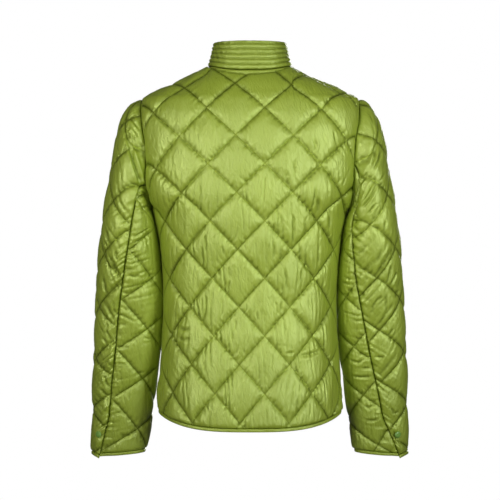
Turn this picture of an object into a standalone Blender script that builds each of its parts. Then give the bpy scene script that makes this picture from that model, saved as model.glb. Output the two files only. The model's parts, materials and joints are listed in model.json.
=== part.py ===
"""Short quilted jacket, filled out as if worn, with nobody in it.

The jacket faces +Y and shows its back to -Y. The wearer's right arm is on +X.
The origin is the middle of the neck opening, level with the two neck points.
Tables and sizes are in millimetres, and to_metres() turns points into metres.
Every table describes the outer face of the cloth; the wall is behind it.
"""
import math
from collections import namedtuple

import bmesh
import bpy
import numpy as np
from mathutils import Vector

# Cloth
WALL = 5.0            # shell, padding and lining, quilted together
GAP = 0.3             # clearance between pieces that meet
COLLAR_GAP = 0.7      # the same at the neck seam, which turns sharply at the shoulders
BINDING = 6.0         # height of the narrow band round hem and cuffs

# Body
UNDERARM_Z = -247.0
SHOULDER_Z = -50.0
NECK_HALF_WIDTH = 74.0
NECK_HALF_DEPTH = 68.0
NECK_SIDE_Z = 6.0
NECK_BACK_Z = -5.5
NECK_FRONT_Z = -62.0
NECK_BACK_POWER = 3.0     # the back neckline is nearly level, then turns up at its ends
NECK_FRONT_POWER = 2.3
NECK_LIFT = 0.75          # how far the neck seam's face looks up at the sides
NECK_LIFT_LOSS = {"back": 0.20, "front": 0.50}
SHOULDER_LIE = (0.42, 0.0, 0.91)
ARMHOLE_LEAN = 0.2        # how far the armhole's face looks sideways
ARMHOLE_TURN = 1.2
ARMHOLE_DEPTH = {"back": 60.0, "front": 55.0}
ARMHOLE_POWER = 2.2
SECTION_POWER = 2.4
HEM_SIDE_Z = -596.0
HEM_BACK_Z = -619.0
HEM_FRONT_Z = -600.0
HEM_POWER = 3.4

# How far apart the points stand
NECK_COLUMNS = 5
SHOULDER_COLUMNS = 7
LOWER_ROWS = 9
UNDER_ARM_ROWS = 4
UPPER_ARM_ROWS = 6
SLEEVE_RINGS = 18
COLLAR_ROWS = 3

# Each top sleeve is one piece of cloth. It is built as three shells end to end, so that its
# collision pieces can follow its hollow side: name, first ring and last ring.
TOP_SLEEVE_STRETCHES = (("head", 0, 6), ("elbow", 6, 12), ("cuff", 12, 18))

# Collar
COLLAR_WIDTH_SHARE = 0.865
COLLAR_DEPTH_SHARE = 0.90
COLLAR_HEIGHT = {"side": 41.0, "back": 48.0, "front": 44.0}
COLLAR_TURN = {"back": 60.0, "front": 76.0}   # depth over which the height changes
COLLAR_TILT = 0.12

# Front closure and studs
PLACKET_HALF_WIDTH = 18.0
PLACKET_WALL = 3.0
STUD_RADIUS = 6.0
STUD_HEIGHT = 3.2
STUD_SIDES = 16
STUD_LIFT = 0.7       # clear of the flat facets under it
FRONT_STUDS_Z = (-104.0, -196.0, -288.0, -380.0, -472.0, -564.0)
CUFF_STUD_STEP = 13.42
CUFF_STUD_ANGLE = {"left": 47.0, "right": 57.0}

BodyRow = namedtuple("BodyRow", "z half_width back front roundness")
BODY = [
    BodyRow(-625, 161.0, 118, 121, 0.42),
    BodyRow(-580, 160.5, 116, 119, 0.42),
    BodyRow(-530, 157.0, 111, 116, 0.42),
    BodyRow(-470, 153.0, 107, 113, 0.42),
    BodyRow(-406, 149.6, 105, 112, 0.42),
    BodyRow(-360, 151.0, 107, 115, 0.42),
    BodyRow(-315, 155.0, 111, 119, 0.42),
    BodyRow(-280, 160.0, 114, 121, 0.42),
    BodyRow(-247, 167.0, 116, 121, 0.43),
    BodyRow(-200, 176.0, 117, 118, 0.58),
    BodyRow(-150, 180.0, 115, 109, 0.70),
    BodyRow(-110, 184.0, 110, 97, 0.68),
    BodyRow(-72, 188.0, 101, 84, 0.58),
    BodyRow(-50, 189.0, 93, 75, 0.51),
    BodyRow(-42, 174.0, 88, 71, 0.50),
    BodyRow(-28, 142.6, 80, 64, 0.50),
    BodyRow(-14, 111.0, 70, 58, 0.50),
    BodyRow(0, 84.0, 60, 53, 0.50),
    BodyRow(6, 74.0, 56, 51, 0.50),
]

ArmholeRow = namedtuple("ArmholeRow", "z back front")
ARMHOLE = [
    ArmholeRow(-247, 167.0, 167.0),
    ArmholeRow(-225, 173.5, 169.0),
    ArmholeRow(-198, 177.5, 169.5),
    ArmholeRow(-170, 179.0, 169.5),
    ArmholeRow(-138, 180.5, 171.5),
    ArmholeRow(-101, 186.0, 177.0),
    ArmholeRow(-72, 189.5, 184.0),
    ArmholeRow(-50, 189.0, 189.0),
]

# Each row is one section of a sleeve, from the armhole to the cuff.
SleeveRow = namedtuple("SleeveRow", "step outer_x outer_z inner_x inner_z middle_y half_depth")
SLEEVE = [
    SleeveRow(0, 189.0, -50.0, 167.0, -247.0, 0, 58),
    SleeveRow(1, 204.0, -56.5, 169.5, -251.0, 0, 62),
    SleeveRow(2, 216.0, -70.0, 170.5, -254.5, 0, 66),
    SleeveRow(3, 225.5, -90.0, 170.0, -258.0, 0, 70),
    SleeveRow(4, 235.0, -125.0, 168.5, -262.5, 0, 73),
    SleeveRow(5, 243.0, -172.0, 166.0, -269.0, 0, 75),
    SleeveRow(6, 252.0, -222.0, 162.8, -279.0, 1, 75),
    SleeveRow(7, 259.0, -270.0, 160.2, -295.0, 2, 73),
    SleeveRow(8, 264.5, -320.0, 156.8, -322.0, 4, 70),
    SleeveRow(9, 269.0, -372.0, 152.8, -372.0, 8, 62),
    SleeveRow(10, 272.0, -425.0, 152.6, -425.0, 12, 54),
    SleeveRow(11, 275.0, -490.0, 157.0, -490.0, 18, 47),
    SleeveRow(12, 277.5, -550.0, 165.5, -550.0, 24, 41),
    SleeveRow(13, 279.5, -612.0, 173.0, -612.0, 30, 37),
    SleeveRow(14, 280.0, -675.0, 184.0, -668.0, 35, 34),
]
SLEEVE_POWER = 2.2
SLEEVE_HEAD_STEPS = 6.0
LAST_STEP = 14.0
BINDING_STEPS = 0.1

# Where the sleeve's seams run, as angles from its outer ridge. The arms hang a little unlike.
SeamRow = namedtuple("SeamRow", "step left right front")
SLEEVE_SEAMS = [
    SeamRow(0, 125, 102, 115),
    SeamRow(2, 117, 112, 122),
    SeamRow(4, 109, 124, 128),
    SeamRow(6, 99, 135, 132),
    SeamRow(8, 90, 129, 134),
    SeamRow(9, 83, 118, 134),
    SeamRow(10, 77, 107, 134),
    SeamRow(11, 74, 98, 134),
    SeamRow(12, 71, 91, 134),
    SeamRow(13, 68, 83, 134),
    SeamRow(14, 62, 65, 134),
]
SIDES = {"left": -1.0, "right": 1.0}
FACES = {"back": -1.0, "front": 1.0}

Finish = namedtuple("Finish", "color roughness metallic")
NYLON = Finish((0.36, 0.47, 0.085), 0.42, 0.0)
BAND = Finish((0.30, 0.40, 0.065), 0.45, 0.0)
STUD_CAP = Finish((0.30, 0.44, 0.14), 0.32, 0.0)

Grid = namedtuple("Grid", "points outward")


def clear_scene():
    for thing in list(bpy.data.objects):
        bpy.data.objects.remove(thing, do_unlink=True)


def smooth(rows, column, at, along="z"):
    """A column's value at any place along its table, on a smooth curve through the rows."""
    places = np.array([getattr(row, along) for row in rows], dtype=float)
    values = np.array([getattr(row, column) for row in rows], dtype=float)
    slopes = np.gradient(values, places)
    at = np.clip(np.asarray(at, dtype=float), places[0], places[-1])
    low = np.clip(np.searchsorted(places, at) - 1, 0, len(places) - 2)
    span = places[low + 1] - places[low]
    t = (at - places[low]) / span
    start = (1 + 2 * t) * (1 - t) ** 2 * values[low]
    end = t * t * (3 - 2 * t) * values[low + 1]
    bend = t * (1 - t) * span * ((1 - t) * slopes[low] - t * slopes[low + 1])
    return start + end + bend


def unit(vectors):
    return vectors / np.linalg.norm(vectors, axis=-1, keepdims=True)


def rounded(angle, power):
    """Cosine and sine of a superellipse, which is a fuller ellipse for a power over 2."""
    c, s = np.cos(angle), np.sin(angle)
    return np.sign(c) * abs(c) ** (2 / power), np.sign(s) * abs(s) ** (2 / power)


def even(points, count):
    """The same line with count steps of equal length."""
    steps = np.linalg.norm(np.diff(points, axis=0), axis=1)
    run = np.concatenate([[0.0], np.cumsum(steps)])
    places = np.linspace(0.0, run[-1], count + 1)
    return np.stack([np.interp(places, run, points[:, axis]) for axis in range(3)], axis=1)


# Body form -------------------------------------------------------------------------------

def armhole_share(z):
    """Height in the armhole, -1 at the underarm and 1 at the shoulder point."""
    middle = (UNDERARM_Z + SHOULDER_Z) / 2
    return np.clip((z - middle) / (SHOULDER_Z - middle), -1.0, 1.0)


def edge_x(face, z):
    """Half width of a panel at its side seam, its armhole or its shoulder seam."""
    beside_arm = (z > UNDERARM_Z) & (z < SHOULDER_Z)
    return np.where(beside_arm, smooth(ARMHOLE, face, z), smooth(BODY, "half_width", z))


def body_point(face, share, z):
    """Outer face of the body. share is 0 on the centre line and 1 on the panel's edge."""
    z = np.asarray(z, dtype=float)
    x = share * edge_x(face, np.minimum(z, SHOULDER_Z))
    ratio = np.clip(x / edge_x(face, z), 0.0, 1.0)
    height = abs(armhole_share(z))
    edge_y = ARMHOLE_DEPTH[face] * (1 - height ** ARMHOLE_POWER) ** (1 / ARMHOLE_POWER)
    middle_y = smooth(BODY, face, z)
    fall = (1 - ratio ** SECTION_POWER) ** smooth(BODY, "roundness", z)
    y = FACES[face] * (edge_y + (middle_y - edge_y) * fall)
    return np.stack([x, y, z], axis=-1)


def hem_z(face, share):
    middle = HEM_BACK_Z if face == "back" else HEM_FRONT_Z
    return middle + (HEM_SIDE_Z - middle) * share ** HEM_POWER


def top_z(face, share):
    """Height of the neckline, and beyond the neck point of the shoulder seam."""
    x = share * float(smooth(BODY, "half_width", SHOULDER_Z))
    if x >= NECK_HALF_WIDTH:
        heights = np.linspace(NECK_SIDE_Z, SHOULDER_Z, 300)
        return np.interp(x, smooth(BODY, "half_width", heights), heights)
    middle, power = (NECK_BACK_Z, NECK_BACK_POWER) if face == "back" else (NECK_FRONT_Z, NECK_FRONT_POWER)
    return middle + (NECK_SIDE_Z - middle) * (x / NECK_HALF_WIDTH) ** power


def column_shares():
    """Where the columns stand, from the centre line to the edge, with one on the neck point."""
    neck = NECK_HALF_WIDTH / float(smooth(BODY, "half_width", SHOULDER_Z))
    inside = neck * np.sin(np.linspace(0.0, math.pi / 2, NECK_COLUMNS + 1))
    outside = np.sin(np.linspace(math.asin(neck), math.pi / 2, SHOULDER_COLUMNS + 1))[1:]
    return np.concatenate([inside, outside])


def sleeve_start_z(face, side):
    """Height on the armhole where the sleeve's back or front seam begins."""
    column = side if face == "back" else "front"
    angle = math.radians(float(smooth(SLEEVE_SEAMS, column, 0, "step")))
    middle = (UNDERARM_Z + SHOULDER_Z) / 2
    return middle + (SHOULDER_Z - middle) * math.cos(angle)


def body_column(face, side, share):
    """Points up one column, from the hem to the neck or the shoulder seam."""
    breaks = [
        (float(hem_z(face, share)), 0),
        (float(hem_z(face, share)) + BINDING, 1),
        (UNDERARM_Z, LOWER_ROWS),
        (sleeve_start_z(face, side), UNDER_ARM_ROWS),
        (float(top_z(face, share)), UPPER_ARM_ROWS),
    ]
    column = [body_point(face, share, breaks[0][0])[None]]
    for (start, _), (end, count) in zip(breaks, breaks[1:]):
        fine = body_point(face, share, np.linspace(start, end, 161))
        column.append(even(fine, count)[1:])
    column = np.concatenate(column)
    if column[-1, 0] >= NECK_HALF_WIDTH - 0.1:
        column[-1, 1] = 0.0
    return column


def side_outward(z):
    slope = (smooth(BODY, "half_width", z + 2) - smooth(BODY, "half_width", z - 2)) / 4
    return unit(np.stack([np.ones_like(z), np.zeros_like(z), -slope], axis=-1))


def armhole_outward(points, face):
    across = abs(points[:, 1] / ARMHOLE_DEPTH[face]) ** ARMHOLE_TURN * FACES[face]
    height = armhole_share(points[:, 2])
    up = np.sign(height) * abs(height) ** ARMHOLE_TURN
    return unit(np.stack([ARMHOLE_LEAN * (1 + up), across, up], axis=-1))


def neck_outward(points):
    """Half way between the lie of the shoulders and that of the collar."""
    across = points[:, 0] / NECK_HALF_WIDTH
    along = points[:, 1] / NECK_HALF_DEPTH
    loss = np.where(along < 0, NECK_LIFT_LOSS["back"], NECK_LIFT_LOSS["front"])
    up = NECK_LIFT - loss * np.clip(abs(along), 0.0, 1.0)
    return unit(np.stack([across, along, up], axis=-1))


def outward(points, closed=False):
    """Directions square to a grid of points, for columns that run anticlockwise from above."""
    wide = points
    if closed:
        wide = np.concatenate([points[:, -2:-1], points, points[:, 1:2]], axis=1)
    along = np.gradient(wide, axis=1)
    up = np.gradient(wide, axis=0)
    square = unit(np.cross(along, up))
    return square[:, 1:-1] if closed else square


def body_grid(face, side):
    """Half of the body on one side, from the centre line to the panel's edge."""
    shares = column_shares()
    points = np.stack([body_column(face, side, share) for share in shares], axis=1)
    square = outward(points)
    if np.sum(square[:, 0, 1]) * FACES[face] < 0:
        square = -square
    underarm = LOWER_ROWS + 1
    square[:, 0, 0] = 0.0
    square[-1, NECK_COLUMNS:] = unit(np.array(SHOULDER_LIE))
    square[:underarm, -1] = side_outward(points[:underarm, -1, 2])
    square[-1, :NECK_COLUMNS + 1] = neck_outward(points[-1, :NECK_COLUMNS + 1])
    square[underarm:, -1] = armhole_outward(points[underarm:, -1], face)
    square = unit(square)
    flip = np.array([SIDES[side], 1.0, 1.0])
    return Grid(points * flip, square * flip)


# Sleeve form -----------------------------------------------------------------------------

def sleeve_ring(side, step, angles):
    """Outer face of the sleeve at one section. Angles run from the outer ridge to the back."""
    def at(column):
        return float(smooth(SLEEVE, column, step, "step"))

    outer = np.array([at("outer_x"), 0.0, at("outer_z")])
    inner = np.array([at("inner_x"), 0.0, at("inner_z")])
    middle = (outer + inner) / 2 + np.array([0.0, at("middle_y"), 0.0])
    c, s = rounded(angles, SLEEVE_POWER)
    ring = middle + c[:, None] * (outer - inner) / 2
    ring[:, 1] -= s * at("half_depth")
    return ring * np.array([SIDES[side], 1.0, 1.0])


def ring_angles(side, step):
    """Back seam, outer ridge, front seam, inner ridge and back seam again."""
    back = math.radians(float(smooth(SLEEVE_SEAMS, side, step, "step")))
    front = math.radians(float(smooth(SLEEVE_SEAMS, "front", step, "step")))
    return np.concatenate([
        np.linspace(back, 0.0, UPPER_ARM_ROWS + 1),
        np.linspace(0.0, -front, UPPER_ARM_ROWS + 1)[1:],
        np.linspace(-front, -math.pi, UNDER_ARM_ROWS + 1)[1:],
        np.linspace(-math.pi, back - 2 * math.pi, UNDER_ARM_ROWS + 1)[1:],
    ])


def armhole_loop(back, front):
    """The body's armhole, in the order of ring_angles()."""
    underarm = LOWER_ROWS + 1
    seam = underarm + UNDER_ARM_ROWS

    def loop(values):
        up, down = values(back), values(front)
        return np.concatenate([up[seam:], down[underarm:-1][::-1], up[underarm + 1:seam + 1]])

    return loop(lambda grid: grid.points[:, -1]), loop(lambda grid: grid.outward[:, -1])


def sleeve_steps():
    """Sections from the armhole to the cuff, closer together round the sleeve head."""
    share = np.linspace(0.0, 1.0, SLEEVE_RINGS + 1)[1:]
    steps = LAST_STEP * share
    return np.concatenate([steps[:-1], [LAST_STEP - BINDING_STEPS, LAST_STEP]])


def sleeve_grid(side, back, front):
    """Rings from the armhole, whose shape fades out over the sleeve head, to the cuff."""
    first, first_outward = armhole_loop(back, front)
    armhole_shape = first - sleeve_ring(side, 0, ring_angles(side, 0))
    rings = [first]
    for step in sleeve_steps():
        share_left = max(0.0, 1 - step / SLEEVE_HEAD_STEPS) ** 2
        rings.append(sleeve_ring(side, step, ring_angles(side, step)) + share_left * armhole_shape)
    points = np.stack(rings)
    square = outward(points, closed=True) * SIDES[side]
    if np.sum(square[-1, UPPER_ARM_ROWS, 0]) * SIDES[side] < 0:
        square = -square
    square[0] = first_outward
    return Grid(points, square)


# Collar ----------------------------------------------------------------------------------

def collar_grid(neck):
    """A stand-up band on the neck seam, leaning in a little and open at centre front."""
    depth = abs(neck[:, 1]) / np.where(neck[:, 1] < 0, COLLAR_TURN["back"], COLLAR_TURN["front"])
    middle = np.where(neck[:, 1] < 0, COLLAR_HEIGHT["back"], COLLAR_HEIGHT["front"])
    height = COLLAR_HEIGHT["side"] + (middle - COLLAR_HEIGHT["side"]) * depth ** 2
    lean = np.array([COLLAR_WIDTH_SHARE, COLLAR_DEPTH_SHARE, 1.0])
    top = neck * lean + np.stack([0 * height, 0 * height, height], axis=-1)
    rise = np.linspace(0.0, 1.0, COLLAR_ROWS + 1)[:, None, None]
    points = neck + (top - neck) * rise
    flat = neck_outward(neck) * np.array([1.0, 1.0, 0.0]) + np.array([0.0, 0.0, COLLAR_TILT])
    square = np.repeat(unit(flat)[None], COLLAR_ROWS + 1, axis=0)
    square[0] = neck_outward(neck)
    return Grid(points, square)


# Solids ----------------------------------------------------------------------------------

def pull_back(grid, edges, gap=GAP):
    """Move a piece's named edges half a gap into the piece, so that neighbours stay apart."""
    points, square = grid.points.copy(), grid.outward
    lines = {
        "bottom": (np.s_[0, :], np.s_[1, :]),
        "top": (np.s_[-1, :], np.s_[-2, :]),
        "start": (np.s_[:, 0], np.s_[:, 1]),
        "end": (np.s_[:, -1], np.s_[:, -2]),
    }
    for edge in edges:
        line, inside = lines[edge]
        away = unit(np.cross(np.gradient(points[line], axis=0), square[line]))
        toward = np.sum(away * (points[inside] - points[line]), axis=-1, keepdims=True)
        points[line] += away * np.where(toward < 0, -1.0, 1.0) * gap / 2
    return Grid(points, square)


def to_metres(point):
    return tuple(float(value) / 1000 for value in point)


def own_material(name, finish):
    material = bpy.data.materials.new(name + "_finish")
    material.use_nodes = True
    shader = material.node_tree.nodes["Principled BSDF"]
    shader.inputs["Base Color"].default_value = (*finish.color, 1.0)
    shader.inputs["Roughness"].default_value = finish.roughness
    shader.inputs["Metallic"].default_value = finish.metallic
    return material


def add_object(name, bm, finish):
    bmesh.ops.recalc_face_normals(bm, faces=bm.faces)
    mesh = bpy.data.meshes.new(name)
    bm.to_mesh(mesh)
    bm.free()
    mesh.shade_smooth()
    mesh.set_sharp_from_angle(angle=math.radians(40))
    mesh.materials.append(own_material(name, finish))
    thing = bpy.data.objects.new(name, mesh)
    bpy.context.scene.collection.objects.link(thing)
    return thing


def shell(name, grid, finish, wall=WALL, closed=False):
    """A closed wall behind a grid of outer-face points."""
    rows, columns = grid.points.shape[:2]
    bm = bmesh.new()
    outer = [[bm.verts.new(to_metres(p)) for p in row] for row in grid.points]
    behind = grid.points - wall * grid.outward
    inner = [[bm.verts.new(to_metres(p)) for p in row] for row in behind]
    last = columns if closed else columns - 1
    for r in range(rows - 1):
        for c in range(last):
            n = (c + 1) % columns
            corners = ((r, c), (r, n), (r + 1, n), (r + 1, c))
            span = [outer[a][b].co for a, b in corners]
            if (span[0] - span[2]).length > (span[1] - span[3]).length:
                corners = corners[1:] + corners[:1]
            for skin in (outer, inner):
                quad = [skin[a][b] for a, b in corners]
                bm.faces.new(quad[:3])
                bm.faces.new((quad[0], quad[2], quad[3]))
    for r in (0, rows - 1):
        for c in range(last):
            n = (c + 1) % columns
            bm.faces.new((outer[r][c], outer[r][n], inner[r][n], inner[r][c]))
    if not closed:
        for c in (0, columns - 1):
            for r in range(rows - 1):
                bm.faces.new((outer[r][c], outer[r + 1][c], inner[r + 1][c], inner[r][c]))
    return add_object(name, bm, finish)


def part_of(grid, rows, columns):
    return Grid(grid.points[rows, columns].copy(), grid.outward[rows, columns].copy())


def joined(*grids):
    """Grids side by side, with the column that each shares with the next kept once."""
    points = [grids[0].points] + [grid.points[:, 1:] for grid in grids[1:]]
    square = [grids[0].outward] + [grid.outward[:, 1:] for grid in grids[1:]]
    return Grid(np.concatenate(points, axis=1), np.concatenate(square, axis=1))


def mirrored_order(grid):
    return Grid(grid.points[:, ::-1], grid.outward[:, ::-1])


def stud(name, centre, direction):
    """A domed press-stud cap that stands on the cloth."""
    bm = bmesh.new()
    profile = [
        (0.0, 0.0),
        (STUD_RADIUS * 0.9, 0.0),
        (STUD_RADIUS, STUD_HEIGHT * 0.35),
        (STUD_RADIUS * 0.8, STUD_HEIGHT * 0.8),
        (STUD_RADIUS * 0.4, STUD_HEIGHT),
        (0.0, STUD_HEIGHT),
    ]
    line = [bm.verts.new((radius / 1000, 0.0, height / 1000)) for radius, height in profile]
    edges = [bm.edges.new(pair) for pair in zip(line, line[1:])]
    bmesh.ops.spin(bm, geom=line + edges, axis=(0, 0, 1), cent=(0, 0, 0),
                   angle=2 * math.pi, steps=STUD_SIDES, use_merge=False)
    bmesh.ops.remove_doubles(bm, verts=bm.verts, dist=0.00001)
    cap = add_object(name, bm, STUD_CAP)
    cap.rotation_mode = "QUATERNION"
    cap.rotation_quaternion = Vector(direction).to_track_quat("Z", "Y")
    cap.location = to_metres(centre + direction * STUD_LIFT)
    return cap


def make_body():
    halves = {(face, side): body_grid(face, side) for face in FACES for side in SIDES}
    whole_back = joined(mirrored_order(halves["back", "left"]), halves["back", "right"])
    main = np.s_[1:]
    shell("back_panel", pull_back(part_of(whole_back, main, np.s_[:]),
                                  ("bottom", "top", "start", "end")), NYLON)
    for side in SIDES:
        front = part_of(halves["front", side], main, np.s_[:])
        shell("front_" + side, pull_back(front, ("bottom", "top", "start", "end")), NYLON)
    return halves


def make_hem_binding(halves):
    low = np.s_[:2]
    strips = [
        part_of(halves["front", "left"], low, np.s_[:]),
        mirrored_order(part_of(halves["back", "left"], low, np.s_[:])),
        part_of(halves["back", "right"], low, np.s_[:]),
        mirrored_order(part_of(halves["front", "right"], low, np.s_[:])),
    ]
    shell("hem_binding", pull_back(joined(*strips), ("top", "start", "end")), BAND)


def make_sleeve(side, halves):
    grid = sleeve_grid(side, halves["back", side], halves["front", side])
    split = 2 * UPPER_ARM_ROWS
    edges = ("bottom", "top", "start", "end")
    cloth = np.s_[:-1]
    for stretch, first, last in TOP_SLEEVE_STRETCHES:
        rows = np.s_[first:last + 1]
        strip = part_of(grid, rows, np.s_[:split + 1])
        shell("top_sleeve_%s_%s" % (side, stretch), pull_back(strip, edges), NYLON)
    shell("under_sleeve_" + side, pull_back(part_of(grid, cloth, np.s_[split:]), edges), NYLON)
    band = part_of(grid, np.s_[-2:], np.s_[:-1])
    shell("cuff_binding_" + side, pull_back(band, ("bottom",)), BAND, closed=True)


def make_collar(halves):
    neck = np.s_[-1:]
    near = np.s_[:NECK_COLUMNS + 1]
    seam = joined(
        part_of(halves["front", "left"], neck, near),
        mirrored_order(part_of(halves["back", "left"], neck, near)),
        part_of(halves["back", "right"], neck, near),
        mirrored_order(part_of(halves["front", "right"], neck, near)),
    )
    band = pull_back(collar_grid(seam.points[0]), ("bottom", "start", "end"), COLLAR_GAP)
    shell("collar", band, NYLON)


def front_line(share):
    """Points up the front at one place beside its centre line, and on up the collar."""
    body = body_column("front", "right", abs(share)) * np.array([np.sign(share), 1.0, 1.0])
    body[:, 0] = share * smooth(BODY, "half_width", SHOULDER_Z)
    return np.concatenate([body, collar_grid(body[-1:]).points[1:, 0]])


def make_placket():
    """The wearer's right front laps over the left as a flat strip with press studs."""
    half = PLACKET_HALF_WIDTH / float(smooth(BODY, "half_width", SHOULDER_Z))
    points = np.stack([front_line(share) for share in (half, 0.0, -half)], axis=1)
    square = outward(points)
    square *= np.sign(square[:, :, 1:2])
    square[:, 1, 0] = 0.0
    face = points + square * (GAP + PLACKET_WALL)
    shell("front_placket", Grid(face, square), NYLON, PLACKET_WALL)
    for number, height in enumerate(FRONT_STUDS_Z, start=1):
        row = np.array([np.interp(height, face[:, 1, 2], face[:, 1, axis]) for axis in range(3)])
        above, below = smooth(BODY, "front", np.array([height + 5, height - 5]))
        lie = unit(np.array([0.0, 1.0, (below - above) / 10]))
        stud("front_stud_%d" % number, row, lie)


def make_cuff_stud(side):
    """The press stud that closes the cuff's vent, on the upper sleeve's edge."""
    angle = math.radians(CUFF_STUD_ANGLE[side])
    near = np.array([angle, angle + 0.05])
    here, beside = sleeve_ring(side, CUFF_STUD_STEP, near)
    above = sleeve_ring(side, CUFF_STUD_STEP - 0.2, near)[0]
    lie = unit(np.cross(beside - here, above - here))
    stud("cuff_stud_" + side, here, lie * np.sign(lie[0]) * SIDES[side])


def main():
    clear_scene()
    halves = make_body()
    make_hem_binding(halves)
    make_collar(halves)
    make_placket()
    for side in SIDES:
        make_sleeve(side, halves)
        make_cuff_stud(side)


main()
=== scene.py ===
# %% [markdown]
# # A short quilted jacket in lime nylon
# The jacket is filled out as if worn, with nobody in it. Its back faces -Y and its front +Y.
# The frame gives the plain walls of every piece. This lesson sews the same pieces again in
# fine cloth: quilted panels, a ribbed collar, bound edges, a placket and press studs.

# %% Load the fixed model
import json
import math
from collections import namedtuple

import bpy
import numpy as np
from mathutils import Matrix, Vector

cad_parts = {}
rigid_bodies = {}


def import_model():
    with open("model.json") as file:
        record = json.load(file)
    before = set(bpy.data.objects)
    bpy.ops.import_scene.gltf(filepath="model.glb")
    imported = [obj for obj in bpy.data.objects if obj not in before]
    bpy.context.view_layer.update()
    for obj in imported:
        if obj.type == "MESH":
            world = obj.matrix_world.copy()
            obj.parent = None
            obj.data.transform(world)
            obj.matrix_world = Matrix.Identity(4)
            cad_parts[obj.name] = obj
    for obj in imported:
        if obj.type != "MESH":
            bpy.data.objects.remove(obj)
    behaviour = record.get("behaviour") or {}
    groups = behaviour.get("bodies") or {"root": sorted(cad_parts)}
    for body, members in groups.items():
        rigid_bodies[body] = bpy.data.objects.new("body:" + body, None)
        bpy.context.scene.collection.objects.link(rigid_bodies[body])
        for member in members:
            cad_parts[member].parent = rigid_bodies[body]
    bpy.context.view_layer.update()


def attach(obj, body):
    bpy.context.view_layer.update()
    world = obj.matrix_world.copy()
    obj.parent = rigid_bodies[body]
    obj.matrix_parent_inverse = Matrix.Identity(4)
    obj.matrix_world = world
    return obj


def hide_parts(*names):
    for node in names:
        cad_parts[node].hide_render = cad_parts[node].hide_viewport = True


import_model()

bpy.ops.object.select_all(action="DESELECT")

# %% [markdown]
# ## Camera and light
# The camera looks squarely at the back from nearly three metres, so that the sleeves and the
# body keep their true widths. One soft lamp stands over the camera, and one on each side lights
# the flanks; the right one is a little stronger and cooler. Their beams are narrow, so that the
# yoke and the lower sleeves fall off. A wide lamp that faces the floor keeps the room white.

# %% Camera
VIEW_DISTANCE = 2.7
VIEW_HEIGHT = -0.315
VIEW_WIDTH = 0.875

camera_data = bpy.data.cameras.new("camera")
camera_data.sensor_width = 36.0
camera_data.lens = camera_data.sensor_width * VIEW_DISTANCE / VIEW_WIDTH
camera = bpy.data.objects.new("camera", camera_data)
camera.location = (0.0, -VIEW_DISTANCE, VIEW_HEIGHT)
camera.rotation_euler = (math.pi / 2, 0.0, 0.0)
bpy.context.scene.collection.objects.link(camera)
bpy.context.scene.camera = camera
bpy.context.scene.view_settings.view_transform = "Standard"


# %% Lights
def area_light(name, place, size, power, spread=180.0, tint=(1.0, 1.0, 1.0), aim_z=None):
    """A round lamp. It faces down, or else the centre line at the height aim_z."""
    data = bpy.data.lights.new(name, "AREA")
    data.shape = "DISK"
    data.size = size
    data.energy = power
    data.color = tint
    data.spread = math.radians(spread)
    lamp = bpy.data.objects.new(name, data)
    lamp.location = place
    if aim_z is not None:
        aim = Vector((0.0, 0.0, aim_z)) - lamp.location
        lamp.rotation_euler = aim.to_track_quat("-Z", "Y").to_euler()
    bpy.context.scene.collection.objects.link(lamp)
    return lamp


area_light("key", (0.1, -2.0, 0.45), 1.1, 0.95, 60.0, (0.98, 1.0, 1.0), aim_z=-0.26)
area_light("right", (1.4, -1.8, 0.05), 0.9, 2.25, 44.0, (0.95, 1.0, 1.0), aim_z=-0.28)
area_light("left", (-1.25, -1.9, 0.05), 0.9, 1.85, 44.0, aim_z=-0.28)
area_light("front_side", (0.4, 2.6, 0.1), 1.6, 9.5, 60.0, aim_z=-0.3)

# %% White room
FLOOR_Z = -1.2
FLOOR_GLOW_Z = -0.8
SKY_SEEN = 1.0
SKY_ON_CLOTH = 0.07
FLOOR_RADIUS = 2.4
bpy.ops.mesh.primitive_circle_add(
    vertices=64, radius=FLOOR_RADIUS, fill_type="NGON", location=(0.0, 0.0, FLOOR_Z))
floor = bpy.context.object
floor.name = "floor"
floor.visible_diffuse = False
floor.visible_glossy = False
area_light("floor_glow", (0.0, 0.0, FLOOR_GLOW_Z), 9.0, 195.0).visible_camera = False

world = bpy.data.worlds.new("studio")
bpy.context.scene.world = world
world.use_nodes = True
sky = world.node_tree.nodes["Background"]
seen = world.node_tree.nodes.new("ShaderNodeLightPath")
level = world.node_tree.nodes.new("ShaderNodeMapRange")
level.inputs["To Min"].default_value = SKY_ON_CLOTH
level.inputs["To Max"].default_value = SKY_SEEN
world.node_tree.links.new(seen.outputs["Is Camera Ray"], level.inputs["Value"])
world.node_tree.links.new(level.outputs["Result"], sky.inputs["Strength"])
sky.inputs["Color"].default_value = (1.0, 1.0, 1.0, 1.0)

# %% [markdown]
# ## Shader arithmetic
# A finish is easier to read as a formula than as a web of boxes. `Field` wraps a socket, so
# that `1 - mask * 0.3` adds the Math nodes for itself.


# %% Field and Finish
class Field:
    """A socket that can be used in plain arithmetic."""

    def __init__(self, finish, socket):
        self.finish = finish
        self.socket = socket

    def by_node(operation, swapped=False):
        """A method that adds one Math node for its values."""
        def apply(*values):
            ordered = values[::-1] if swapped else values
            return values[0].finish.field("ShaderNodeMath", {"operation": operation}, ordered)
        return apply

    __add__ = by_node("ADD")
    __sub__ = by_node("SUBTRACT")
    __rsub__ = by_node("SUBTRACT", swapped=True)
    __mul__ = by_node("MULTIPLY")
    __abs__ = by_node("ABSOLUTE")
    fraction = by_node("FRACT")
    lowest = by_node("MINIMUM")

    def from_whole(self):
        """Distance to the nearest whole number."""
        return abs((self + 0.5).fraction() - 0.5)

    def step(self, low, high):
        """0 below low and 1 above high, with a soft ramp between."""
        return self.finish.field("ShaderNodeMapRange", {"interpolation_type": "SMOOTHSTEP"},
                                 {"Value": self, "From Min": low, "From Max": high})


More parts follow.
